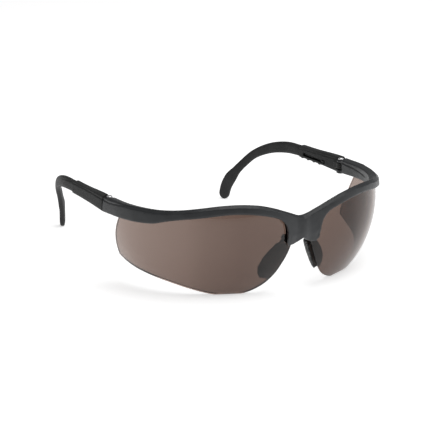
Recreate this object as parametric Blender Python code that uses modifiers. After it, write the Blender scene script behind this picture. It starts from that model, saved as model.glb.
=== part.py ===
"""Half-frame safety glasses with tinted lenses and folding temples of adjustable length.

Units are metres. +Z is up, the lenses look along -Y, and the wearer's left is +X. The origin is on
the surface that the glasses stand on, below the middle of the part. Lists of dimensions are in
millimetres and degrees, with y measured back from the bridge; at() turns them into world points.
"""

import math

import bmesh
import bpy
from mathutils import Vector

MM = 0.001
BRIDGE_TO_ORIGIN = 70.88
GAP = 0.3

# Lenses: spherical shells, both about a vertical line 15 mm to each side of the middle.
LENS_CENTRE = (15.0, 52.7, 32.4)
LENS_RADIUS = 54.6
LENS_THICKNESS = 2.0
LENS_COLUMNS = 30
LENS_ROWS = 7
BELOW_STAND = ((0.0, -5.0, -5.0), (70.0, 70.0, 0.0))

# Frame: a band that follows the lenses, then runs straight back to the hinges.
FRAME_RADIUS = 56.6
FRAME_THICKNESS = 4.9
FRAME_COLUMNS = 54
FRAME_ROWS = 3
BRIDGE_ROUNDING = 3.0
LEG_SWEEP_TOP = 31.0
LEG_SWEEP = 0.026
LEG_SLANT = 1.6
LEG_SLANT_END = 2.0
LEG_SLANT_RUN = 6.0
EDGE_ROUNDING = 0.7
BROW_ROUNDING = 1.3
ROUNDING_STEPS = 3

# Hinges: a vertical pin through a bottom, a middle and a top knuckle.
HINGE = (68.0, 62.6)
KNUCKLE_RADIUS = 2.2
PIN_RADIUS = 0.7
PIN_HEAD_RADIUS = 1.5
HINGE_TOP = 50.0
HINGE_BOTTOM = 20.0
FRAME_KNUCKLE = (32.7, 39.5)
SLEEVE_KNUCKLE = (35.0, 38.1)
PIN_HEIGHTS = (33.5, 39.8, 40.7)
PIN_HEAD_RIM = 0.35
HEAD_CLEARANCE = 0.1
SWING_ROOM = 10.0
NECK_SIDES = (1.9, 1.7)
NECK_REACH = 1.5

# Temples: the sleeve's line, and the section of the tongue that slides in it.
SLEEVE_FRONT = 63.75
SLEEVE_REAR = 96.6
TONGUE_FRONT = 73.2
TONGUE_WIDTH = 2.3
TONGUE_HEIGHT = 2.7
CAVITY_FRONT = 72.2
CUT_THROUGH = 3.0
SLOT_SPAN = (74.4, 92.8)
SLOT_DEPTH = (60.0, 68.0)
SLOT_HEIGHT = 1.7
SLOT_DROP = 0.75
BOSS_SPAN = (75.0, 77.8)
BOSS_DEPTH = (66.05, 68.0)
BOSS_HEIGHT = 1.0
BUMP_COUNT = 4
BUMP_PITCH = 4.7
BUMP_FIRST = 79.8
BUMP_RADIUS = 1.7
BUMP_HEIGHT = 34.4
BUMP_SPAN = (-1.9, -0.5)
TEMPLE_FRONT = (69.2, 36.35)
TEMPLE_REAR = (67.5, 35.9)

# Nose pads: a post on each leg of the frame, in a blind hole in the pad.
POST_RADIUS = 0.9
POST_TOP = (7.2, 3.9, 27.0)
POST_END = (10.9, 6.5, 18.9)
POST_FOOT_RADIUS = 1.6
POST_FOOT_REACH = 0.7

# Top edge of the frame, from the bridge to the hinge: angle about the lens centre, height in
# front, and how much lower the rear edge lies than one square to the front would.
FRAME_TOP = [
    (-18.0, 38.4, 0.8), (-15.5, 38.4, 0.8), (-12.5, 39.0, 0.8), (-6.2, 41.6, 1.0),
    (2.3, 44.8, 1.3), (10.2, 46.85, 1.5), (20.3, 47.75, 1.5), (30.0, 47.35, 1.5),
    (39.5, 46.0, 1.4), (49.2, 44.4, 1.1), (59.4, 43.1, 0.6), (77.3, 41.7, 0.0),
    (101.3, 40.7, 0.0),
]

# Lower edge of the frame, with the angle on the top edge that each point is joined to.
FRAME_BOTTOM = [
    (-17.5, 27.3, -17.5), (-15.5, 27.3, -15.5), (-13.4, 25.6, -14.0), (-11.0, 24.4, -12.4),
    (-8.9, 23.8, -11.2), (-7.1, 23.9, -10.1), (-6.0, 25.2, -8.8), (-5.8, 28.5, -7.6),
    (-5.5, 31.6, -6.3), (-4.7, 34.5, -4.8), (-3.2, 36.7, -3.0), (-0.8, 38.6, -0.5),
    (2.6, 39.8, 2.8), (7.8, 41.2, 8.0), (15.0, 42.4, 15.0), (23.0, 42.8, 23.0),
    (30.0, 42.3, 30.0), (39.4, 40.9, 39.4), (49.1, 39.4, 49.1), (56.7, 37.7, 56.0),
    (62.5, 36.0, 61.5), (70.7, 34.9, 70.0), (78.0, 34.35, 78.0), (89.0, 33.6, 89.0),
    (101.3, 32.8, 101.3),
]

# Lens outline in pairs: a point on the lower edge, the point on the hidden top edge that it is
# joined to, and how far the line between them bows outward.
LENS_OUTLINE = [
    (-9.6, 23.4, -9.9, 26.6, 0.0), (-8.2, 19.4, -9.0, 30.4, 0.0), (-5.9, 14.8, -7.7, 33.8, 0.0),
    (-3.3, 10.1, -5.8, 37.0, 0.0), (1.2, 5.2, -1.6, 40.3, 0.0), (6.6, 2.2, 4.6, 42.2, 0.0),
    (12.4, 0.4, 11.5, 43.7, 0.0), (18.0, -0.4, 18.0, 44.5, 0.0), (26.0, -0.4, 26.0, 44.5, 0.0),
    (34.2, 0.4, 34.0, 43.6, 0.0), (46.1, 2.9, 45.5, 42.0, 0.0), (57.8, 5.4, 56.0, 39.9, 0.0),
    (70.5, 7.5, 67.0, 37.2, 0.0), (81.2, 9.2, 75.6, 36.3, 0.5), (88.8, 11.0, 82.2, 35.8, 1.4),
    (93.6, 12.6, 87.0, 35.3, 2.4),
]

# Sleeve sections along y: middle height, height, width.
SLEEVE_SECTIONS = [
    (63.75, 36.65, 8.2, 4.8), (69.6, 36.65, 7.8, 4.8), (75.8, 36.55, 7.2, 4.7),
    (82.0, 36.35, 6.7, 4.6), (88.3, 36.2, 6.4, 4.5), (96.6, 36.0, 6.3, 4.5),
]

# Arm behind the sleeve: x, y and z of its middle, its height and its thickness.
ARM_PATH = [
    (67.45, 96.9, 35.9, 5.8, 3.4), (66.3, 108.2, 35.1, 6.1, 3.3), (63.5, 119.5, 32.3, 5.6, 3.1),
    (59.6, 129.3, 27.0, 4.7, 2.9), (55.6, 134.9, 20.4, 4.5, 2.8), (53.5, 137.6, 16.4, 4.9, 2.8),
    (52.4, 138.9, 14.1, 6.0, 2.8), (51.5, 140.0, 11.9, 6.5, 2.9), (50.3, 141.9, 7.2, 6.3, 2.9),
    (49.5, 143.13, 0.09, 5.8, 2.9),
]
ARM_STATIONS = 44
TIP_ROUNDING = 3.2

# Nose pad corners at stations down the pad: nasal front, nose side and outer edge.
PAD_SECTIONS = [
    ((6.5, 4.3, 24.2), (7.1, 6.9, 24.1), (11.8, 5.3, 24.1)),
    ((5.3, 2.7, 22.7), (6.6, 7.3, 22.6), (13.4, 5.4, 22.9)),
    ((5.5, 2.2, 21.2), (7.3, 7.9, 20.6), (15.0, 6.1, 21.5)),
    ((6.6, 2.3, 17.3), (9.6, 9.0, 16.0), (18.2, 7.4, 17.8)),
    ((9.0, 4.0, 12.5), (12.4, 9.7, 11.0), (20.2, 8.4, 13.3)),
    ((11.3, 5.6, 9.2), (14.2, 9.6, 8.0), (19.7, 8.9, 10.0)),
    ((13.5, 6.9, 7.3), (15.2, 9.3, 6.6), (18.1, 8.8, 7.7)),
]


# ------------------------------------------------------------------------------ shape tools


def at(x, y, z):
    """World point of a place given in millimetres, with y measured back from the bridge."""
    return Vector((x, y - BRIDGE_TO_ORIGIN, z)) * MM


def spline(points, count, crowding=1.0):
    """Samples of a Catmull-Rom curve, evenly spread or, with crowding over 1, closer at its end."""
    steps = [math.dist(a, b) for a, b in zip(points, points[1:])]
    knots = [sum(steps[:index]) for index in range(len(points))]
    shares = [1 - (1 - index / count) ** crowding for index in range(count + 1)]
    return [spline_value(points, knots, knots[-1] * share) for share in shares]


def spline_value(points, knots, where):
    """Point of the Catmull-Rom curve at a distance along its knots."""
    last = len(points) - 2
    span = max(index for index in range(last + 1) if knots[index] <= where or index == 0)
    width = knots[span + 1] - knots[span]
    part = (where - knots[span]) / width
    start, end = points[span], points[span + 1]
    before = points[max(span - 1, 0)]
    after = points[min(span + 2, last + 1)]
    lead = width / (knots[span + 1] - knots[max(span - 1, 0)])
    trail = width / (knots[min(span + 2, last + 1)] - knots[span])
    value = []
    for a, b, c, d in zip(before, start, end, after):
        slope_in = (c - a) * lead
        slope_out = (d - b) * trail
        bend = (2 * part**3 - 3 * part**2 + 1) * b + (3 * part**2 - 2 * part**3) * c
        bend += (part**3 - 2 * part**2 + part) * slope_in + (part**3 - part**2) * slope_out
        value.append(bend)
    return value


def values_at(edge, angle):
    """Values that go with the angles of an edge, at any one angle."""
    knots = [point[0] for point in edge]
    return spline_value([point[1:] for point in edge], knots, angle)


def wrap(angle, height, radius, rounding=0.0):
    """Point on the sphere about the lens centre; past 90 degrees the surface runs straight back."""
    centre_x, centre_y, centre_z = LENS_CENTRE
    reach = math.sqrt(radius**2 - (height - centre_z) ** 2)
    turn = math.radians(min(angle, 90.0))
    x = centre_x + reach * math.sin(turn)
    beyond = math.radians(max(angle - 90.0, 0.0)) * LENS_RADIUS
    if angle > 60.0:
        return at(x, centre_y - reach * math.cos(turn) + beyond, height)
    across = math.hypot(x, rounding) - centre_x
    return at(x, centre_y - math.sqrt(reach**2 - across**2), height)


def mesh_object(name, builder, material, origin=None):
    """Object from a bmesh, with its origin at a given world point."""
    origin = origin or Vector((0.0, 0.0, 0.0))
    bmesh.ops.translate(builder, verts=builder.verts, vec=-origin)
    bmesh.ops.recalc_face_normals(builder, faces=builder.faces)
    mesh = bpy.data.meshes.new(name)
    builder.to_mesh(mesh)
    builder.free()
    result = bpy.data.objects.new(name, mesh)
    result.location = origin
    if material:
        mesh.materials.append(material)
        parts.objects.link(result)
    else:
        result.hide_render = True
        result.display_type = "WIRE"
        cutters.objects.link(result)
    return result


def grid(rows):
    """Open surface through rows of points."""
    builder = bmesh.new()
    lines = [[builder.verts.new(point) for point in row] for row in rows]
    for line, following in zip(lines, lines[1:]):
        for index in range(len(line) - 1):
            corners = (line[index], line[index + 1], following[index + 1], following[index])
            builder.faces.new(corners)
    return builder


def loft(rings):
    """Closed solid through rings of points, capped at both ends."""
    builder = bmesh.new()
    loops = [[builder.verts.new(point) for point in ring] for ring in rings]
    count = len(rings[0])
    for loop, following in zip(loops, loops[1:]):
        for index in range(count):
            after = (index + 1) % count
            builder.faces.new((loop[index], loop[after], following[after], following[index]))
    builder.faces.new(list(reversed(loops[0])))
    builder.faces.new(loops[-1])
    return builder


def oval(middle, across, upward, width, height, squareness=4.0, count=20):
    """Rounded rectangle about a world point, in the plane of two unit vectors."""
    ring = []
    for index in range(count):
        angle = 2 * math.pi * (index + 0.5) / count
        side = math.copysign(abs(math.cos(angle)) ** (2 / squareness), math.cos(angle))
        rise = math.copysign(abs(math.sin(angle)) ** (2 / squareness), math.sin(angle))
        ring.append(middle + across * (side * width / 2) + upward * (rise * height / 2))
    return ring


def cylinder(name, start, end, radius, sides=28):
    """Cutter in the shape of a rod between two world points."""
    builder = bmesh.new()
    line = end - start
    bmesh.ops.create_cone(builder, cap_ends=True, segments=sides, radius1=radius * MM,
                          radius2=radius * MM, depth=line.length)
    turn = Vector((0.0, 0.0, 1.0)).rotation_difference(line).to_matrix().to_4x4()
    bmesh.ops.transform(builder, matrix=turn, verts=builder.verts)
    bmesh.ops.translate(builder, verts=builder.verts, vec=(start + end) / 2)
    return mesh_object(name, builder, None)


def box(name, low, high):
    """Cutter in the shape of a box between two corners in millimetres."""
    builder = bmesh.new()
    bmesh.ops.create_cube(builder, size=1.0)
    low_corner, high_corner = at(*low), at(*high)
    size = high_corner - low_corner
    bmesh.ops.scale(builder, verts=builder.verts, vec=size)
    bmesh.ops.translate(builder, verts=builder.verts, vec=(low_corner + high_corner) / 2)
    return mesh_object(name, builder, None)


def beam(name, start, end, width, height, material=None, **shape):
    """Straight bar of rounded section between two world points."""
    along = (end - start).normalized()
    across = along.cross(Vector((0.0, 0.0, 1.0))).normalized()
    upward = across.cross(along)
    rings = [oval(point, across, upward, width * MM, height * MM, **shape) for point in (start, end)]
    return mesh_object(name, loft(rings), material)


def combine(target, operation, tools):
    """Boolean modifiers that join or cut a piece with a list of cutter objects."""
    for tool in tools:
        modifier = target.modifiers.new(tool.name, "BOOLEAN")
        modifier.operation = operation
        modifier.solver = "EXACT"
        modifier.object = tool


def thicken(target, thickness):
    """Solidify an open surface inward, toward the wearer."""
    modifier = target.modifiers.new("thickness", "SOLIDIFY")
    modifier.thickness = thickness * MM
    modifier.offset = -1.0
    modifier.use_even_offset = True


def settle(target):
    """Replace a piece's mesh by what its modifiers make of it, shaded smooth."""
    bpy.context.view_layer.update()
    evaluated = target.evaluated_get(bpy.context.evaluated_depsgraph_get())
    mesh = bpy.data.meshes.new_from_object(evaluated)
    target.modifiers.clear()
    target.data = mesh
    mesh.name = target.name
    smooth(target)


def smooth(target):
    """Smooth shading that keeps real edges crisp."""
    target.data.shade_smooth()
    target.data.set_sharp_from_angle(angle=math.radians(35.0))


def mirrored(source, name, material):
    """Copy of a finished piece on the other side of the plane x = 0."""
    builder = bmesh.new()
    builder.from_mesh(source.data)
    bmesh.ops.transform(builder, matrix=source.matrix_world, verts=builder.verts)
    bmesh.ops.scale(builder, verts=builder.verts, vec=(-1.0, 1.0, 1.0))
    origin = source.location.copy()
    origin.x = -origin.x
    copy = mesh_object(name, builder, material, origin)
    if signed_volume(copy.data) < 0:
        copy.data.flip_normals()
    smooth(copy)
    return copy


def signed_volume(mesh):
    """Volume of a closed mesh, negative where its faces point inward."""
    builder = bmesh.new()
    builder.from_mesh(mesh)
    volume = builder.calc_volume(signed=True)
    builder.free()
    return volume


def paint(name, colour, roughness, metallic=0.0, alpha=1.0):
    """Principled material of one sub-part."""
    material = bpy.data.materials.new(name)
    material.use_nodes = True
    shader = material.node_tree.nodes["Principled BSDF"]
    shader.inputs["Base Color"].default_value = (*colour, 1.0)
    shader.inputs["Roughness"].default_value = roughness
    shader.inputs["Metallic"].default_value = metallic
    shader.inputs["Alpha"].default_value = alpha
    return material


# ------------------------------------------------------------------------------ lenses


def lens_surface(radius, margin=0.0):
    """Open spherical patch with the lens outline, grown by a margin on every side."""
    pairs = spline(LENS_OUTLINE, LENS_COLUMNS)
    lower = grow([(pair[0], pair[1]) for pair in pairs], -margin)
    upper = grow([(pair[2], pair[3]) for pair in pairs], margin)
    rows = []
    for column, pair in enumerate(pairs):
        low, high = lower[column], upper[column]
        spread = margin * column / LENS_COLUMNS
        row = []
        for step in range(LENS_ROWS + 1):
            part = step / LENS_ROWS
            bow = pair[4] * 4 * part * (1 - part)
            angle = low[0] + (high[0] - low[0]) * part + bow + spread
            row.append(wrap(angle, low[1] + (high[1] - low[1]) * part, radius))
        rows.append(row)
    return grid(rows)


def grow(points, distance):
    """Line of points moved sideways, to the left of its direction for a positive distance."""
    moved = []
    for index, point in enumerate(points):
        before = points[max(index - 1, 0)]
        after = points[min(index + 1, len(points) - 1)]
        length = math.dist(before, after)
        left = ((before[1] - after[1]) / length, (after[0] - before[0]) / length)
        moved.append((point[0] + left[0] * distance, point[1] + left[1] * distance))
    return moved


def make_lens(material):
    """Left lens: a spherical shell with a short flat at the lowest part of its edge."""
    lens = mesh_object("left_lens", face_forward(lens_surface(LENS_RADIUS)), material)
    thicken(lens, LENS_THICKNESS)
    combine(lens, "DIFFERENCE", [box("lens_flat", *BELOW_STAND)])
    settle(lens)
    return lens


def face_forward(builder):
    """Turn an open surface so that its faces look away from the lens centre."""
    centre = at(*LENS_CENTRE)
    bmesh.ops.recalc_face_normals(builder, faces=builder.faces)
    builder.faces.ensure_lookup_table()
    builder.normal_update()
    face = builder.faces[0]
    if (face.calc_center_median() - centre).dot(face.normal) < 0:
        bmesh.ops.reverse_faces(builder, faces=builder.faces)
    return builder


def groove_cutter():
    """Space for the lens in the frame, with clearance all round."""
    surface = face_forward(lens_surface(LENS_RADIUS + GAP, GAP))
    cutter = mesh_object("lens_groove", surface, None)
    thicken(cutter, LENS_THICKNESS + 2 * GAP)
    return cutter


# ------------------------------------------------------------------------------ frame


def frame_band():
    """Closed band for half the frame, a little past the middle of the bridge."""
    rings = []
    for low_angle, low_height, high_angle in spline(FRAME_BOTTOM, FRAME_COLUMNS):
        high_angle = min(high_angle, FRAME_TOP[-1][0])
        high_height, drop = values_at(FRAME_TOP, high_angle)
        ring = []
        edge_slant = LEG_SLANT * min(max((LEG_SLANT_END - low_angle) / LEG_SLANT_RUN, 0.0), 1.0)
        for upward, inward in band_outline(high_height - low_height):
            part = upward / (high_height - low_height)
            angle = low_angle + (high_angle - low_angle) * part
            angle -= edge_slant * (1 - part) * inward / FRAME_THICKNESS
            height = low_height + upward
            radius = FRAME_RADIUS - LEG_SWEEP * max(LEG_SWEEP_TOP - height, 0.0) ** 2
            share = 1 - inward / radius
            level = LENS_CENTRE[2] + (height - LENS_CENTRE[2]) * share
            level -= drop * part * inward / FRAME_THICKNESS
            ring.append(wrap(angle, level, radius * share, BRIDGE_ROUNDING))
        rings.append(ring)
    return loft(rings)


def band_outline(tall):
    """Section of the band: distances up from its lower edge and in from its front face."""
    outline = []
    for up, inward, radius, start in (
        (0.0, 0.0, EDGE_ROUNDING, 180.0), (tall, 0.0, BROW_ROUNDING, 270.0),
        (tall, FRAME_THICKNESS, EDGE_ROUNDING, 0.0), (0.0, FRAME_THICKNESS, EDGE_ROUNDING, 90.0),
    ):
        middle_up = abs(up - radius)
        middle_inward = abs(inward - radius)
        for step in range(ROUNDING_STEPS + 1):
            turn = math.radians(start + 90.0 * step / ROUNDING_STEPS)
            outline.append((middle_up + radius * math.cos(turn),
                            middle_inward + radius * math.sin(turn)))
        if inward == 0.0 and up == 0.0 or inward > 0.0 and up > 0.0:
            last_up, last_inward = outline[-1]
            run = tall - EDGE_ROUNDING - BROW_ROUNDING
            direction = 1 if up == 0.0 else -1
            for step in range(1, FRAME_ROWS):
                outline.append((last_up + direction * run * step / FRAME_ROWS, last_inward))
    return outline


def hinge_point(height):
    """Point of the left hinge's axis."""
    return at(HINGE[0], HINGE[1], height)


def make_frame(material):
    """Brow frame with its legs, pad posts, lens grooves and hinge knuckles."""
    frame = mesh_object("frame", frame_band(), material)
    foot_start = at(POST_TOP[0], 0.0, POST_TOP[2])
    foot_end = at(POST_TOP[0], POST_TOP[1] + POST_FOOT_REACH, POST_TOP[2])
    combine(frame, "UNION", [
        cylinder("post_foot", foot_start, foot_end, POST_FOOT_RADIUS, 16),
        cylinder("post", at(*POST_TOP), at(*POST_END), POST_RADIUS, 16),
        cylinder("frame_barrel", hinge_point(FRAME_KNUCKLE[0]), hinge_point(FRAME_KNUCKLE[1]),
                 KNUCKLE_RADIUS),
    ])
    low, high = SLEEVE_KNUCKLE[0] - GAP, SLEEVE_KNUCKLE[1] + GAP
    x, y = HINGE
    room = KNUCKLE_RADIUS + GAP
    combine(frame, "DIFFERENCE", [
        groove_cutter(),
        cylinder("knuckle_room", hinge_point(low), hinge_point(high), room),
        box("swing_room_rear", (x - SWING_ROOM, y, low), (x + room, y + SWING_ROOM, high)),
        box("swing_room_side", (x - SWING_ROOM, y - room, low), (x, y + SWING_ROOM, high)),
        cylinder("head_recess", hinge_point(FRAME_KNUCKLE[1]), hinge_point(HINGE_TOP),
                 room + HEAD_CLEARANCE),
        cylinder("pin_hole", hinge_point(PIN_HEIGHTS[0] - GAP), hinge_point(HINGE_TOP),
                 PIN_RADIUS + GAP, 20),
    ])
    mirror = frame.modifiers.new("other_half", "MIRROR")
    mirror.use_axis = (True, False, False)
    mirror.use_bisect_axis = (True, False, False)
    mirror.use_bisect_flip_axis = (False, False, False)
    mirror.use_mirror_merge = True
    mirror.merge_threshold = 0.00001
    settle(frame)
    return frame


def make_hinge_pin(material):
    """Left hinge pin: a turned profile with a domed head, about the hinge axis."""
    foot, shoulder, top = PIN_HEIGHTS
    rim = shoulder + PIN_HEAD_RIM
    profile = [(0.0, top)]
    for step in range(1, 5):
        angle = math.radians(90.0 * step / 4)
        height = rim + (top - rim) * math.cos(angle)
        profile.append((PIN_HEAD_RADIUS * math.sin(angle), height))
    profile += [(PIN_HEAD_RADIUS, shoulder), (PIN_RADIUS, shoulder), (PIN_RADIUS, foot), (0.0, foot)]
    builder = bmesh.new()
    points = []
    for radius, height in profile:
        points.append(builder.verts.new(Vector((radius, 0.0, height - foot)) * MM))
    for start, end in zip(points, points[1:]):
        builder.edges.new((start, end))
    mesh = bpy.data.meshes.new("left_hinge_pin")
    builder.to_mesh(mesh)
    builder.free()
    mesh.materials.append(material)
    pin = bpy.data.objects.new("left_hinge_pin", mesh)
    pin.location = hinge_point(foot)
    parts.objects.link(pin)
    turn = pin.modifiers.new("turn", "SCREW")
    turn.steps = 20
    turn.render_steps = 20
    turn.use_merge_vertices = True
    turn.merge_threshold = 0.00001
    settle(pin)
    return pin


# ------------------------------------------------------------------------------ temples


def temple_line(y):
    """Point of the straight line that the tongue slides along, at a distance behind the bridge."""
    run = (y - SLEEVE_FRONT) / (SLEEVE_REAR - SLEEVE_FRONT)
    x = TEMPLE_FRONT[0] + (TEMPLE_REAR[0] - TEMPLE_FRONT[0]) * run
    return at(x, y, TEMPLE_FRONT[1] + (TEMPLE_REAR[1] - TEMPLE_FRONT[1]) * run)


def slot_height():
    """Height of the middle of the ratchet slot, and of the boss that shows in it."""
    return temple_line(sum(SLOT_SPAN) / 2).z / MM - SLOT_DROP


def make_sleeve(material):
    """Left temple sleeve: hinge knuckle in front, hollow behind, ratchet slot and bumps."""
    rings = []
    for y, middle, height, width in spline(SLEEVE_SECTIONS, 12):
        centre = temple_line(y)
        centre.z = middle * MM
        rings.append(oval(centre, Vector((1.0, 0.0, 0.0)), Vector((0.0, 0.0, 1.0)),
                          width * MM, height * MM, squareness=5.0, count=24))
    sleeve = mesh_object("left_temple_sleeve", loft(rings), material, hinge_point(0.0))
    x, y = HINGE
    room = KNUCKLE_RADIUS + GAP
    low, high = SLEEVE_KNUCKLE
    combine(sleeve, "DIFFERENCE", [
        cylinder("barrel_room", hinge_point(HINGE_BOTTOM), hinge_point(HINGE_TOP), room),
        box("corner_room", (x - SWING_ROOM, y - room, HINGE_BOTTOM), (x, y + room, HINGE_TOP)),
    ])
    combine(sleeve, "UNION", [
        cylinder("sleeve_barrel", hinge_point(low), hinge_point(high), KNUCKLE_RADIUS),
        box("neck", (x - NECK_SIDES[0], y, low), (x + NECK_SIDES[1], y + room + NECK_REACH, high)),
    ])
    combine(sleeve, "UNION", ratchet_bumps())
    hollow_width, hollow_height = TONGUE_WIDTH + 2 * GAP, TONGUE_HEIGHT + 2 * GAP
    slot_low = slot_height() - SLOT_HEIGHT / 2
    combine(sleeve, "DIFFERENCE", [
        cylinder("sleeve_pin_hole", hinge_point(HINGE_BOTTOM), hinge_point(HINGE_TOP),
                 PIN_RADIUS + GAP, 20),
        beam("hollow", temple_line(CAVITY_FRONT), temple_line(SLEEVE_REAR + CUT_THROUGH),
             hollow_width, hollow_height, squareness=8.0, count=16),
        box("slot", (SLOT_DEPTH[0], SLOT_SPAN[0], slot_low),
            (SLOT_DEPTH[1], SLOT_SPAN[1], slot_low + SLOT_HEIGHT)),
    ])
    settle(sleeve)
    return sleeve


def ratchet_bumps():
    """Row of rounded bumps along the underside of the sleeve, on its inner half."""
    bumps = []
    for index in range(BUMP_COUNT):
        y = BUMP_FIRST + BUMP_PITCH * index
        ends = []
        for side in BUMP_SPAN:
            end = temple_line(y) + Vector((side * MM, 0.0, 0.0))
            end.z = BUMP_HEIGHT * MM
            ends.append(end)
        bumps.append(cylinder(f"bump_{index + 1}", ends[0], ends[1], BUMP_RADIUS, 16))
    return bumps


def make_arm(material):
    """Left temple arm: a straight tongue, then a tapered blade that drops to a paddle tip."""
    across = Vector((1.0, 0.0, 0.0))
    upward = Vector((0.0, 0.0, 1.0))
    rings = []
    for y in (TONGUE_FRONT, ARM_PATH[0][1]):
        rings.append(oval(temple_line(y), across, upward, TONGUE_WIDTH * MM, TONGUE_HEIGHT * MM,
                          squareness=8.0, count=16))
    path = spline(ARM_PATH, ARM_STATIONS, crowding=1.5)
    points = [at(x, y, z) for x, y, z, height, thickness in path]
    for index, (point, values) in enumerate(zip(points, path)):
        before = points[max(index - 1, 0)]
        after = points[min(index + 1, ARM_STATIONS)]
        along = (after - before).normalized()
        if index == 0:
            along = Vector((0.0, 1.0, 0.0))
        side = along.cross(upward).normalized()
        rise = side.cross(along)
        left = (points[-1] - point).length / MM
        taper = math.sqrt(max(1 - (1 - min(left / TIP_ROUNDING, 1.0)) ** 2, 0.02))
        height, thickness = values[3] * taper, values[4] * (0.45 + 0.55 * taper)
        rings.append(oval(point, side, rise, thickness * MM, height * MM, squareness=3.0, count=16))
    arm = mesh_object("left_temple_arm", loft(rings), material, hinge_point(0.0))
    low, high = slot_height() - BOSS_HEIGHT / 2, slot_height() + BOSS_HEIGHT / 2
    combine(arm, "UNION", [
        box("detent_boss", (BOSS_DEPTH[0], BOSS_SPAN[0], low), (BOSS_DEPTH[1], BOSS_SPAN[1], high)),
    ])
    settle(arm)
    return arm


# ------------------------------------------------------------------------------ nose pads


def make_nose_pad(material):
    """Left nose pad: a soft wedge behind the nasal edge of the lens, on the frame's post."""
    rings = []
    for corners in PAD_SECTIONS:
        rings.append(rounded_ring([at(*corner) for corner in corners]))
    pad = mesh_object("left_nose_pad", loft(rings), material, at(*POST_TOP))
    reach = (at(*POST_END) - at(*POST_TOP)).normalized() * GAP * MM
    combine(pad, "DIFFERENCE", [
        cylinder("pad_hole", at(*POST_TOP), at(*POST_END) + reach, POST_RADIUS + GAP, 16),
    ])
    settle(pad)
    return pad


def rounded_ring(corners):
    """Polygon with its corners cut twice, which rounds them."""
    ring = corners
    for share in (0.15, 0.27):
        cut = []
        for index, point in enumerate(ring):
            following = ring[(index + 1) % len(ring)]
            cut.append(point.lerp(following, share))
            cut.append(following.lerp(point, share))
        ring = cut
    return ring


# ------------------------------------------------------------------------------ assembly


for old in list(bpy.data.objects):
    bpy.data.objects.remove(old, do_unlink=True)
parts = bpy.data.collections.new("safety_glasses")
cutters = bpy.data.collections.new("cutters")
bpy.context.scene.collection.children.link(parts)
bpy.context.scene.collection.children.link(cutters)

make_frame(paint("frame_nylon", (0.045, 0.049, 0.054), 0.42))
for make, name, colour, roughness, metallic, alpha in (
    (make_lens, "lens", (0.16, 0.12, 0.10), 0.06, 0.0, 0.8),
    (make_nose_pad, "nose_pad", (0.035, 0.038, 0.04), 0.6, 0.0, 1.0),
    (make_hinge_pin, "hinge_pin", (0.75, 0.75, 0.76), 0.25, 1.0, 1.0),
    (make_sleeve, "temple_sleeve", (0.045, 0.047, 0.047), 0.5, 0.0, 1.0),
    (make_arm, "temple_arm", (0.047, 0.047, 0.047), 0.5, 0.0, 1.0),
):
    left = make(paint(f"left_{name}_material", colour, roughness, metallic, alpha))
    mirrored(left, f"right_{name}", paint(f"right_{name}_material", colour, roughness, metallic, alpha))
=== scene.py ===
"""Looks of the half-frame safety glasses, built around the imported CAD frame.

Places are in the row frame: +Z is up, the lenses look along -Y, and the wearer's left is +X. Each
piece is refined from its own CAD node, so that it sits where the CAD puts it, except the lenses,
which are built anew as the same spheres. The right side's pieces are mirror images of the left's.
"""

import math

import bmesh
import bpy
import numpy as np
from mathutils import Matrix, Vector


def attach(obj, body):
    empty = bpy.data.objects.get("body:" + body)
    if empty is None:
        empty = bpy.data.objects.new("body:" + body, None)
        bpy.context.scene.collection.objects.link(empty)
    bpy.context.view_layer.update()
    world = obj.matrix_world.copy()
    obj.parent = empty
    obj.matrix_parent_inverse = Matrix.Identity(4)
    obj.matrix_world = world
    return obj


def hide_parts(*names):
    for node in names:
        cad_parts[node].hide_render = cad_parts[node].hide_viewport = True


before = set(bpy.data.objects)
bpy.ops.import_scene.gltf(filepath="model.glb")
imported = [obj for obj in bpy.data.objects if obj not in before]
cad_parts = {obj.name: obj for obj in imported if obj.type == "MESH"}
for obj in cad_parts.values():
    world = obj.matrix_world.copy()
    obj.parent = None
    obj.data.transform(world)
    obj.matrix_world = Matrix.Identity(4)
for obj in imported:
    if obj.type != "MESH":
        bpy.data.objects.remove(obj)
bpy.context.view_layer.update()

MM = 0.001
WELD_DISTANCE = 1e-6

# Signs: the left and the right side, and the outer and inner face of a part.
SIDES = (1.0, -1.0)
OUTER, INNER = 1.0, -1.0

# Lenses: each is part of a sphere. The centre's y is measured from the front of the bridge, which
# is BRIDGE_TO_ORIGIN ahead of the row frame's origin. Lengths in the tables below are millimetres,
# and angles are degrees outward from straight ahead, about the left lens's centre.
BRIDGE_TO_ORIGIN = 70.88
LENS_CENTRE = (15.0, 52.7, 32.4)
LENS_RADIUS = 54.6
LENS_THICKNESS = 2.0
LENS_RIM_ROUNDING = 0.4
LENS_CORNER_ANGLE = 50.0
LENS_COLUMNS = 110
LENS_ROWS = 34

# Lens outline in pairs: angle and height on the lower edge, angle and height of the point on the
# top edge that it is joined to, and how far the line between them bows outward.
LENS_OUTLINE = [
    (-9.6, 23.4, -9.9, 26.6, 0.0), (-8.2, 19.4, -9.0, 30.4, 0.0), (-5.9, 14.8, -7.7, 33.8, 0.0),
    (-3.3, 10.1, -5.8, 37.0, 0.0), (1.2, 5.2, -1.6, 40.3, 0.0), (6.6, 2.2, 4.6, 42.2, 0.0),
    (12.4, 0.4, 11.5, 43.7, 0.0), (18.0, -0.4, 18.0, 44.5, 0.0), (26.0, -0.4, 26.0, 44.5, 0.0),
    (34.2, 0.4, 34.0, 43.6, 0.0), (46.1, 2.9, 45.5, 42.0, 0.0), (57.8, 5.4, 56.0, 39.9, 0.0),
    (70.5, 7.5, 67.0, 37.2, 0.0), (81.2, 9.2, 75.6, 36.3, 0.5), (88.8, 11.0, 82.2, 35.8, 1.4),
    (93.6, 12.6, 87.0, 35.3, 2.4),
]

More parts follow.
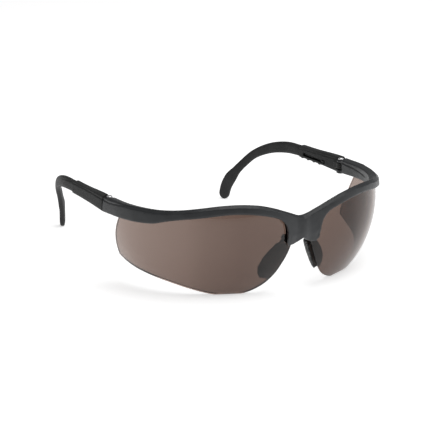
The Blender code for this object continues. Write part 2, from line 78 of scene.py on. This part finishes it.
# Grooves along the temples and the ends of the frame: y, height and depth at stations. They reach
# only the parts beyond GROOVED_FROM, measured sideways from the middle.
GROOVED_FROM = 40.0
OUTER_GROOVE = [
    (-45.0, 42.9, 0.0), (-35.0, 41.6, 0.15), (-24.0, 40.3, 0.25), (-13.0, 38.9, 0.3),
    (-5.0, 39.0, 0.3), (5.0, 39.05, 0.3), (16.0, 38.8, 0.3), (27.0, 38.3, 0.3),
    (35.0, 37.4, 0.2), (44.0, 35.6, 0.0),
]
OUTER_GROOVE_WIDTH = 1.3
INNER_GROOVE = [
    (-38.0, 37.9, 0.0), (-33.0, 37.95, 0.35), (-22.0, 38.5, 0.45), (-11.5, 38.8, 0.45),
    (-10.0, 38.9, 0.0),
]
INNER_GROOVE_WIDTH = 1.4
SLEEVE_LINE = [
    (-6.5, 39.4, 0.0), (-5.0, 39.35, 0.25), (10.0, 38.55, 0.25), (25.0, 37.6, 0.25),
    (25.8, 37.55, 0.25),
]
SLEEVE_LINE_WIDTH = 0.9

# Front height of the frame's top edge over the angle about the lens centre, and its chamfer.
FRAME_RADIUS = 56.6
BROW_END_ANGLE = 90.0
BROW_EDGE = [
    (-18.0, 38.4), (-15.5, 38.4), (-12.5, 39.0), (-6.2, 41.6), (2.3, 44.8), (10.2, 46.85),
    (20.3, 47.75), (30.0, 47.35), (39.5, 46.0), (49.2, 44.4), (59.4, 43.1), (77.3, 41.7),
    (90.0, 41.1),
]
BROW_CHAMFER = [(-16.0, 1.3), (-8.0, 1.6), (10.0, 1.9), (60.0, 1.9), (80.0, 1.4), (90.0, 0.0)]

# Soft ridge down the middle of the bridge.
RIDGE_HALF_WIDTH = 4.5
RIDGE_HEIGHT = 0.8

# Mass tint: share of red, green and blue light that passes through the thickest part square on, how
# much of that depth is kept at each angle about the lens centre, thinned toward the temple as
# painted lightening that stands in for the grazing reflection there, and how much longer the path
# through the tint is at a grazing slant.
TINT = (0.112, 0.071, 0.056)
TINT_DEPTH_AND_PAINTED_REFLECTION = [
    (-10.0, 0.92), (0.0, 0.945), (18.0, 0.98), (30.0, 0.925), (37.0, 0.885), (47.0, 0.79),
    (57.0, 0.74), (69.0, 0.68), (76.0, 0.64), (84.0, 0.59), (95.0, 0.5),
]
SLANT_GAIN = 1.36
LENS_IOR = 1.4

# Crossed ribs on the nose side of the pads, which stands a little proud of the CAD's.
RIB_PITCH = 1.7
RIB_DEPTH = 0.4
RIB_SLANT = 1.4
RIB_SHARPNESS = 1.6
PAD_SWELL = 0.5

# Noise scales of the materials, in turns per metre: patches of tone, patches of sheen, the grain of
# a moulded surface, a thin film on the lenses, and the tone and sheen of steel.
TONE_SCALE = 160.0
SHEEN_SCALE = 900.0
GRAIN_SCALE = 2600.0
FILM_SCALE = 70.0
STEEL_TONE_SCALE = 700.0
STEEL_SHEEN_SCALE = 1500.0
GRAIN_HEIGHT = 0.00005

# Studio. Lengths are metres, angles are degrees and powers are watts.
TABLE_RADIUS = 6.0
TABLE_DROP = 0.00005
TABLE_GLOW = 0.56
WORLD_GLOW = 0.24
CAMERA_LENS = 174.28
CAMERA_SENSOR = 36.0
CAMERA_CLIP = (0.01, 100.0)
CAMERA_AZIMUTH = -33.002
CAMERA_ELEVATION = 17.605
CAMERA_ROLL = 1.204
CAMERA_DISTANCE = 1.001
CAMERA_LEFT = 0.03872
CAMERA_UP = 0.034811

# Softboxes: name, place, target, width, depth and power.
SOFTBOXES = [
    ("overhead", (0.1, -0.1, 0.8), (0.0, 0.0, 0.0), 0.8, 0.6, 3.4),
    ("right_front", (0.8, -0.7, 0.6), (0.0, 0.0, 0.03), 0.7, 0.5, 3.0),
]


# ---------------------------------------------------------------------------- mesh tools


def link(name, mesh, body, node):
    """Object for a mesh that rides on a body and stands for a CAD node."""
    piece = bpy.data.objects.new(name, mesh)
    bpy.context.scene.collection.objects.link(piece)
    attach(piece, body)
    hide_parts(node)
    return piece


def applied(piece):
    """Replace a piece's mesh by what its modifiers make of it."""
    bpy.context.view_layer.update()
    evaluated = piece.evaluated_get(bpy.context.evaluated_depsgraph_get())
    mesh = bpy.data.meshes.new_from_object(evaluated)
    piece.modifiers.clear()
    piece.data = mesh


def welded_copy(node):
    """Mesh of a CAD node with its split corners joined again."""
    builder = bmesh.new()
    builder.from_mesh(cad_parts[node].data)
    bmesh.ops.remove_doubles(builder, verts=builder.verts, dist=WELD_DISTANCE)
    bmesh.ops.recalc_face_normals(builder, faces=builder.faces)
    mesh = bpy.data.meshes.new(node)
    builder.to_mesh(mesh)
    builder.free()
    return mesh


def moulded(node, name, body, voxel, rounds, keep, carve=None):
    """Refined stand-in for a CAD node, with its facets gone and its edges softly rounded.

    The voxel is in millimetres, rounds is how often the mesh is smoothed, and keep is the share of
    its triangles that is left at the end.
    """
    piece = link(name, welded_copy(node), body, node)
    remesh = piece.modifiers.new("fine", "REMESH")
    remesh.mode = "VOXEL"
    remesh.voxel_size = voxel * MM
    soften = piece.modifiers.new("soften", "SMOOTH")
    soften.factor = 0.5
    soften.iterations = rounds
    applied(piece)
    if carve:
        carve(piece.data)
    thin_out = piece.modifiers.new("thin_out", "DECIMATE")
    thin_out.ratio = keep
    applied(piece)
    piece.data.shade_smooth()
    return piece


def mirror_piece(source, name, body, node):
    """Mirror image of a finished left piece, for the right side."""
    builder = bmesh.new()
    builder.from_mesh(source.data)
    bmesh.ops.scale(builder, verts=builder.verts, vec=(-1.0, 1.0, 1.0))
    bmesh.ops.reverse_faces(builder, faces=builder.faces)
    mesh = bpy.data.meshes.new(name)
    builder.to_mesh(mesh)
    builder.free()
    mesh.shade_smooth()
    piece = link(name, mesh, body, node)
    for slot in source.material_slots:
        piece.data.materials.append(slot.material)
    return piece


def smooth_step(value):
    """Soft rise from 0 to 1 as the value runs from 0 to 1."""
    value = np.clip(value, 0.0, 1.0)
    return value * value * (3.0 - 2.0 * value)


def fade_in(share, start, span):
    """Soft rise from 0 to 1 as a share runs over a span that begins at a start."""
    return smooth_step((share - start) / span)


def mesh_arrays(mesh):
    """Places in millimetres and normals of a mesh's vertices."""
    places = np.empty(len(mesh.vertices) * 3)
    normals = np.empty(len(mesh.vertices) * 3)
    mesh.vertices.foreach_get("co", places)
    mesh.vertices.foreach_get("normal", normals)
    return places.reshape(-1, 3) / MM, normals.reshape(-1, 3)


def move_vertices(mesh, places):
    """Put a mesh's vertices at places given in millimetres."""
    mesh.vertices.foreach_set("co", (places * MM).ravel())
    mesh.update()


def groove_depths(places, course, width):
    """Depth at each place of a groove whose height and depth change along y."""
    stations = np.array(course)
    middle = np.interp(places[:, 1], stations[:, 0], stations[:, 1])
    depth = np.interp(places[:, 1], stations[:, 0], stations[:, 2])
    across = np.abs(places[:, 2] - middle) / (width / 2)
    return depth * (1.0 - smooth_step(across))


def press_groove(mesh, course, width, side, outward, start=0.25, span=0.35):
    """Press a groove into the outer (1) or inner (-1) face of what lies on one side.

    The groove fades in where the face turns sideways: the normal's share along x from which it
    starts, and the span over which it reaches its full depth.
    """
    places, normals = mesh_arrays(mesh)
    facing = fade_in(side * outward * normals[:, 0], start, span)
    depth = groove_depths(places, course, width) * facing
    depth *= side * places[:, 0] > GROOVED_FROM
    move_vertices(mesh, places - normals * depth[:, None])


def carve_outer_groove(mesh):
    """Groove a little below the top edge, on the outer side."""
    for side in SIDES:
        press_groove(mesh, OUTER_GROOVE, OUTER_GROOVE_WIDTH, side, OUTER)


def chamfer_brow(mesh):
    """Flat chamfer along the front top edge, on both sides."""
    for side in SIDES:
        places, _ = mesh_arrays(mesh)
        outward = np.stack([side * places[:, 0] - LENS_CENTRE[0],
                            places[:, 1] + BRIDGE_TO_ORIGIN - LENS_CENTRE[1]], axis=1)
        reach = np.hypot(outward[:, 0], outward[:, 1])
        angle = np.degrees(np.arctan2(outward[:, 0], -outward[:, 1]))
        knots, heights = np.array(BROW_EDGE).T
        surface = np.sqrt(FRAME_RADIUS**2 - (places[:, 2] - LENS_CENTRE[2]) ** 2)
        below = np.interp(angle, knots, heights) - places[:, 2]
        chamfer = np.interp(angle, *np.array(BROW_CHAMFER).T)
        spare = (chamfer - below - (surface - reach)) / 2.0
        spare *= (side * places[:, 0] >= 0.0) & (spare > 0.0) & (angle < BROW_END_ANGLE)
        inward = -outward / reach[:, None]
        places[:, 0] += side * inward[:, 0] * spare
        places[:, 1] += inward[:, 1] * spare
        places[:, 2] -= spare
        move_vertices(mesh, places)


def raise_bridge(mesh):
    """Soft ridge down the front of the bridge."""
    places, normals = mesh_arrays(mesh)
    facing = fade_in(-normals[:, 1], start=0.2, span=0.5)
    near = 1.0 - smooth_step(np.abs(places[:, 0]) / RIDGE_HALF_WIDTH)
    places[:, 1] -= RIDGE_HEIGHT * near * facing
    move_vertices(mesh, places)


def carve_frame(mesh):
    """Chamfer of the brow, grooves on the frame's ends and the ridge of the bridge."""
    chamfer_brow(mesh)
    carve_outer_groove(mesh)
    for side in SIDES:
        press_groove(mesh, INNER_GROOVE, INNER_GROOVE_WIDTH, side, INNER)
    raise_bridge(mesh)


def carve_sleeve(mesh):
    """Groove on the outer side of the sleeve and a fine line along its inner side."""
    carve_outer_groove(mesh)
    press_groove(mesh, SLEEVE_LINE, SLEEVE_LINE_WIDTH, SIDES[0], INNER, start=0.4, span=0.4)


def carve_pad(mesh):
    """Crossed ribs on the side of the pad that rests on the nose."""
    places, normals = mesh_arrays(mesh)
    facing = fade_in(-normals[:, 0], start=0.2, span=0.25)
    upward = places[:, 2]
    across = places[:, 1] * RIB_SLANT
    first = np.abs(np.mod((upward + across) / RIB_PITCH, 1.0) - 0.5) * 2.0
    second = np.abs(np.mod((upward - across) / RIB_PITCH, 1.0) - 0.5) * 2.0
    between = smooth_step(RIB_SHARPNESS * (1.0 - np.maximum(first, second)))
    depth = RIB_DEPTH * facing * between
    depth -= PAD_SWELL * facing
    move_vertices(mesh, places - normals * depth[:, None])


def spline_value(points, knots, where):
    """Point of a Catmull-Rom curve at a distance along its knots."""
    last = len(points) - 2
    span = max(index for index in range(last + 1) if knots[index] <= where or index == 0)
    width = knots[span + 1] - knots[span]
    part = (where - knots[span]) / width
    before = points[max(span - 1, 0)]
    after = points[min(span + 2, last + 1)]
    lead = width / (knots[span + 1] - knots[max(span - 1, 0)])
    trail = width / (knots[min(span + 2, last + 1)] - knots[span])
    value = []
    for a, b, c, d in zip(before, points[span], points[span + 1], after):
        bend = (2 * part**3 - 3 * part**2 + 1) * b + (3 * part**2 - 2 * part**3) * c
        bend += (part**3 - 2 * part**2 + part) * (c - a) * lead
        value.append(bend + (part**3 - part**2) * (d - b) * trail)
    return value


def spline(points, count):
    """Evenly spread samples of a Catmull-Rom curve."""
    knots = [0.0]
    for a, b in zip(points, points[1:]):
        knots.append(knots[-1] + math.dist(a, b))
    return [spline_value(points, knots, knots[-1] * index / count) for index in range(count + 1)]


def lens_point(angle, height, radius):
    """Point of a sphere about the lens centre; past 90 degrees the surface runs straight back."""
    centre_x, centre_y, centre_z = LENS_CENTRE
    reach = math.sqrt(radius**2 - (height - centre_z) ** 2)
    turn = math.radians(min(angle, 90.0))
    beyond = math.radians(max(angle - 90.0, 0.0)) * LENS_RADIUS
    x = centre_x + reach * math.sin(turn)
    y = centre_y - reach * math.cos(turn) + beyond - BRIDGE_TO_ORIGIN
    return Vector((x, y, height)) * MM


# -------------------------------------------------------------------------------- lenses


def lens_mesh():
    """Left lens: a fine spherical shell, its rim square to the surface and no lower than z = 0."""
    outer_rows, inner_rows = [], []
    inner_radius = LENS_RADIUS - LENS_THICKNESS
    centre_z = LENS_CENTRE[2]
    builder = bmesh.new()
    for low_angle, low, high_angle, high, bow in spline(LENS_OUTLINE, LENS_COLUMNS):
        outer, inner = [], []
        for step in range(LENS_ROWS + 1):
            part = step / LENS_ROWS
            angle = low_angle + (high_angle - low_angle) * part + bow * 4 * part * (1 - part)
            height = low + (high - low) * part
            inner_height = centre_z + (height - centre_z) * inner_radius / LENS_RADIUS
            front = lens_point(angle, height, LENS_RADIUS)
            back = lens_point(angle, inner_height, inner_radius)
            front.z = max(front.z, 0.0)
            back.z = max(back.z, 0.0)
            outer.append(builder.verts.new(front))
            inner.append(builder.verts.new(back))
        outer_rows.append(outer)
        inner_rows.append(inner)
    for rows, flip in ((outer_rows, False), (inner_rows, True)):
        for row, following in zip(rows, rows[1:]):
            for index in range(LENS_ROWS):
                face = [row[index], following[index], following[index + 1], row[index + 1]]
                builder.faces.new(face[::-1] if flip else face)
    outer_rim = lens_rim(outer_rows)
    inner_rim = lens_rim(inner_rows)
    for index in range(len(outer_rim)):
        after = (index + 1) % len(outer_rim)
        builder.faces.new((outer_rim[after], outer_rim[index], inner_rim[index], inner_rim[after]))
    bmesh.ops.recalc_face_normals(builder, faces=builder.faces)
    mesh = bpy.data.meshes.new("left_lens_shell")
    builder.to_mesh(mesh)
    builder.free()
    return mesh


def lens_rim(rows):
    """Corners of a grid of points, once round its edge."""
    rim = [row[0] for row in rows]
    rim += rows[-1][1:]
    rim += [row[-1] for row in reversed(rows[:-1])]
    rim += rows[0][-2:0:-1]
    return rim


def make_lens():
    """Left lens with a polished, slightly rounded rim."""
    lens = link("left_lens_shell", lens_mesh(), "front", "left_lens")
    rounding = lens.modifiers.new("polished_rim", "BEVEL")
    rounding.width = LENS_RIM_ROUNDING * MM
    rounding.segments = 3
    rounding.limit_method = "ANGLE"
    rounding.angle_limit = math.radians(LENS_CORNER_ANGLE)
    applied(lens)
    lens.data.shade_smooth()
    return lens


# ----------------------------------------------------------------------------- materials


def node_tree(name):
    """New material, its tree and its Principled shader."""
    material = bpy.data.materials.new(name)
    material.use_nodes = True
    tree = material.node_tree
    return material, tree, tree.nodes["Principled BSDF"]


def noise(tree, scale, detail=3.0, roughness=0.5):
    """Noise texture in object space."""
    place = tree.nodes.new("ShaderNodeTexCoord")
    texture = tree.nodes.new("ShaderNodeTexNoise")
    texture.inputs["Scale"].default_value = scale
    texture.inputs["Detail"].default_value = detail
    texture.inputs["Roughness"].default_value = roughness
    tree.links.new(place.outputs["Object"], texture.inputs["Vector"])
    return texture.outputs["Fac"]


def remap(tree, source, low, high, start=0.3, end=0.7):
    """A number that runs from low to high as the source runs from start to end."""
    ramp = tree.nodes.new("ShaderNodeMapRange")
    ramp.inputs["From Min"].default_value = start
    ramp.inputs["From Max"].default_value = end
    ramp.inputs["To Min"].default_value = low
    ramp.inputs["To Max"].default_value = high
    tree.links.new(source, ramp.inputs["Value"])
    return ramp.outputs["Result"]


def blend_colour(tree, share, first, second):
    """Mix of two colours."""
    mix = tree.nodes.new("ShaderNodeMix")
    mix.data_type = "RGBA"
    mix.inputs["A"].default_value = (*first, 1.0)
    mix.inputs["B"].default_value = (*second, 1.0)
    tree.links.new(share, mix.inputs["Factor"])
    return mix.outputs["Result"]


def bump(tree, height, strength, distance):
    """Bump from a height, as a normal."""
    node = tree.nodes.new("ShaderNodeBump")
    node.inputs["Strength"].default_value = strength
    node.inputs["Distance"].default_value = distance
    tree.links.new(height, node.inputs["Height"])
    return node.outputs["Normal"]


def moulded_plastic(name, dark, light, smoother, rougher, grain, shine):
    """Moulded plastic or rubber with a fine grain and a slightly uneven tone and sheen."""
    material, tree, shader = node_tree(name)
    tone = remap(tree, noise(tree, TONE_SCALE, 4.0), 0.0, 1.0)
    tree.links.new(blend_colour(tree, tone, dark, light), shader.inputs["Base Color"])
    shader.inputs["Specular IOR Level"].default_value = shine
    sheen = noise(tree, SHEEN_SCALE, 2.0)
    tree.links.new(remap(tree, sheen, smoother, rougher), shader.inputs["Roughness"])
    texture = noise(tree, GRAIN_SCALE, 2.0, 0.6)
    tree.links.new(bump(tree, texture, grain, GRAIN_HEIGHT), shader.inputs["Normal"])
    return material


def calculation(tree, operation, first, second):
    """Result of a sum on two inputs, each a socket or a number."""
    node = tree.nodes.new("ShaderNodeMath")
    node.operation = operation
    for socket, value in zip(node.inputs, (first, second)):
        if isinstance(value, (int, float)):
            socket.default_value = value
        else:
            tree.links.new(value, socket)
    return node.outputs[0]


def mass_tint_and_painted_reflection(tree):
    """Colour of light after the lens: its mass tint, thinned toward the temple as painted
    lightening that stands in for the grazing reflection there, and deeper at a slant.
    """
    place = tree.nodes.new("ShaderNodeTexCoord")
    axes = tree.nodes.new("ShaderNodeSeparateXYZ")
    tree.links.new(place.outputs["Object"], axes.inputs[0])
    centre_y = (LENS_CENTRE[1] - BRIDGE_TO_ORIGIN) * MM
    sideways = calculation(tree, "ABSOLUTE", axes.outputs["X"], 0.0)
    sideways = calculation(tree, "SUBTRACT", sideways, LENS_CENTRE[0] * MM)
    forward = calculation(tree, "SUBTRACT", centre_y, axes.outputs["Y"])
    angle = calculation(tree, "ARCTAN2", sideways, forward)
    first, last = TINT_DEPTH_AND_PAINTED_REFLECTION[0][0], TINT_DEPTH_AND_PAINTED_REFLECTION[-1][0]
    course = remap(tree, angle, 0.0, 1.0, math.radians(first), math.radians(last))
    # Painted reflection: this ramp thins the tint toward the temple to lighten the lens there, in
    # place of the grazing reflection.
    ramp = tree.nodes.new("ShaderNodeValToRGB")
    stops = ramp.color_ramp.elements
    for index, (stop, depth) in enumerate(TINT_DEPTH_AND_PAINTED_REFLECTION):
        spot = (stop - first) / (last - first)
        if index < 2:
            stops[index].position = spot
        else:
            stops.new(spot)
        stops[index].color = (depth, depth, depth, 1.0)
    tree.links.new(course, ramp.inputs["Fac"])
    slant = tree.nodes.new("ShaderNodeLayerWeight")
    gain = remap(tree, slant.outputs["Facing"], 1.0, SLANT_GAIN, 0.0, 1.0)
    depth = calculation(tree, "MULTIPLY", ramp.outputs["Color"], gain)
    colour = tree.nodes.new("ShaderNodeCombineColor")
    for share, socket in zip(TINT, colour.inputs):
        tree.links.new(calculation(tree, "POWER", share, depth), socket)
    return colour.outputs["Color"]


def tinted_polycarbonate():
    """Brown-grey tinted clear plastic, its tint thinned toward the temple as painted lightening
    that stands in for the grazing reflection there.
    """
    material, tree, shader = node_tree("tinted_polycarbonate")
    tree.links.new(mass_tint_and_painted_reflection(tree), shader.inputs["Base Color"])
    shader.inputs["Transmission Weight"].default_value = 1.0
    shader.inputs["IOR"].default_value = LENS_IOR
    film = noise(tree, FILM_SCALE, 2.0)
    tree.links.new(remap(tree, film, 0.0, 0.008), shader.inputs["Roughness"])
    return material


def turned_steel():
    """Bright steel with a faintly uneven tone and sheen."""
    material, tree, shader = node_tree("turned_steel")
    tone = remap(tree, noise(tree, STEEL_TONE_SCALE), 0.0, 1.0)
    tree.links.new(blend_colour(tree, tone, (0.7, 0.7, 0.71), (0.86, 0.86, 0.87)),
                   shader.inputs["Base Color"])
    shader.inputs["Metallic"].default_value = 1.0
    sheen = remap(tree, noise(tree, STEEL_SHEEN_SCALE), 0.16, 0.3)
    tree.links.new(sheen, shader.inputs["Roughness"])
    return material


# -------------------------------------------------------------------------------- pieces


nylon = moulded_plastic("frame_nylon", (0.022, 0.0235, 0.0255), (0.031, 0.033, 0.0355),
                        smoother=0.34, rougher=0.46, grain=0.35, shine=0.36)
temple_nylon = moulded_plastic("temple_nylon", (0.032, 0.0325, 0.0325), (0.043, 0.0435, 0.0435),
                               smoother=0.42, rougher=0.55, grain=0.4, shine=0.08)
rubber = moulded_plastic("soft_rubber", (0.011, 0.0125, 0.0135), (0.018, 0.02, 0.0215),
                         smoother=0.16, rougher=0.26, grain=0.1, shine=1.0)
steel = turned_steel()
tint = tinted_polycarbonate()

frame_piece = moulded("frame", "brow_frame", "front", voxel=0.3, rounds=5, keep=0.45,
                      carve=carve_frame)
frame_piece.data.materials.clear()
frame_piece.data.materials.append(nylon)

left_lens = make_lens()
left_lens.data.materials.append(tint)
right_lens = mirror_piece(left_lens, "right_lens_shell", "front", "right_lens")

# One row for each pair of pieces, which is built on the left and mirrored for the right.
for node, name, left_body, right_body, material, slot, voxel, keep, carve in (
    ("nose_pad", "nose_pad_rubber", "front", "front", rubber, "nose_pad", 0.14, 0.7, carve_pad),
    ("hinge_pin", "hinge_pin_steel", "front", "front", steel, "hinge_pin", 0.12, 0.6, None),
    ("temple_sleeve", "sleeve_shell", "left_sleeve", "right_sleeve", temple_nylon, "temple", 0.22,
     0.6, carve_sleeve),
    ("temple_arm", "arm_blade", "left_arm", "right_arm", temple_nylon, "temple", 0.25, 0.6,
     carve_outer_groove),
):
    left = moulded(f"left_{node}", f"left_{name}", left_body, voxel, rounds=4, keep=keep,
                   carve=carve)
    left.data.materials.clear()
    left.data.materials.append(material)
    right = mirror_piece(left, f"right_{name}", right_body, f"right_{node}")


# -------------------------------------------------------------------------------- studio


def make_floor():
    """Plain pale table top."""
    builder = bmesh.new()
    bmesh.ops.create_circle(builder, cap_ends=True, segments=96, radius=TABLE_RADIUS)
    mesh = bpy.data.meshes.new("floor")
    builder.to_mesh(mesh)
    builder.free()
    floor = bpy.data.objects.new("floor", mesh)
    floor.location.z = -TABLE_DROP
    bpy.context.scene.collection.objects.link(floor)
    material, _, shader = node_tree("pale_floor")
    shader.inputs["Base Color"].default_value = (0.9, 0.9, 0.9, 1.0)
    shader.inputs["Roughness"].default_value = 0.9
    shader.inputs["Specular IOR Level"].default_value = 0.0
    shader.inputs["Emission Color"].default_value = (1.0, 1.0, 1.0, 1.0)
    shader.inputs["Emission Strength"].default_value = TABLE_GLOW
    floor.data.materials.append(material)


def soft_light(name, place, target, width, depth, power):
    """Rectangular softbox."""
    lamp = bpy.data.lights.new(name, "AREA")
    lamp.shape = "RECTANGLE"
    lamp.size = width
    lamp.size_y = depth
    lamp.energy = power
    light = bpy.data.objects.new(name, lamp)
    light.location = place
    light.rotation_mode = "QUATERNION"
    light.rotation_quaternion = (Vector(target) - Vector(place)).to_track_quat("-Z", "Y")
    bpy.context.scene.collection.objects.link(light)


def make_camera():
    """Camera at the photograph's angle, with a long lens."""
    data = bpy.data.cameras.new("camera")
    data.lens = CAMERA_LENS
    data.sensor_width = CAMERA_SENSOR
    data.clip_start, data.clip_end = CAMERA_CLIP
    camera = bpy.data.objects.new("camera", data)
    azimuth = math.radians(CAMERA_AZIMUTH)
    elevation = math.radians(CAMERA_ELEVATION)
    roll = math.radians(CAMERA_ROLL)
    back = Vector((math.sin(azimuth) * math.cos(elevation),
                   -math.cos(azimuth) * math.cos(elevation), math.sin(elevation)))
    level = Vector((math.cos(azimuth), math.sin(azimuth), 0.0))
    rise = back.cross(level)
    across = math.cos(roll) * level + math.sin(roll) * rise
    upward = math.cos(roll) * rise - math.sin(roll) * level
    place = back * CAMERA_DISTANCE - across * CAMERA_LEFT + upward * CAMERA_UP
    place.y -= BRIDGE_TO_ORIGIN * MM
    pose = Matrix((across, upward, back)).transposed().to_4x4()
    pose.translation = place
    camera.matrix_world = pose
    bpy.context.scene.collection.objects.link(camera)
    bpy.context.scene.camera = camera


def make_world():
    """White studio surroundings."""
    world = bpy.data.worlds.new("studio")
    world.use_nodes = True
    background = world.node_tree.nodes["Background"]
    background.inputs["Color"].default_value = (1.0, 1.0, 1.0, 1.0)
    background.inputs["Strength"].default_value = WORLD_GLOW
    bpy.context.scene.world = world


make_floor()
make_world()
make_camera()
for softbox in SOFTBOXES:
    soft_light(*softbox)
bpy.context.scene.view_settings.view_transform = "Standard"
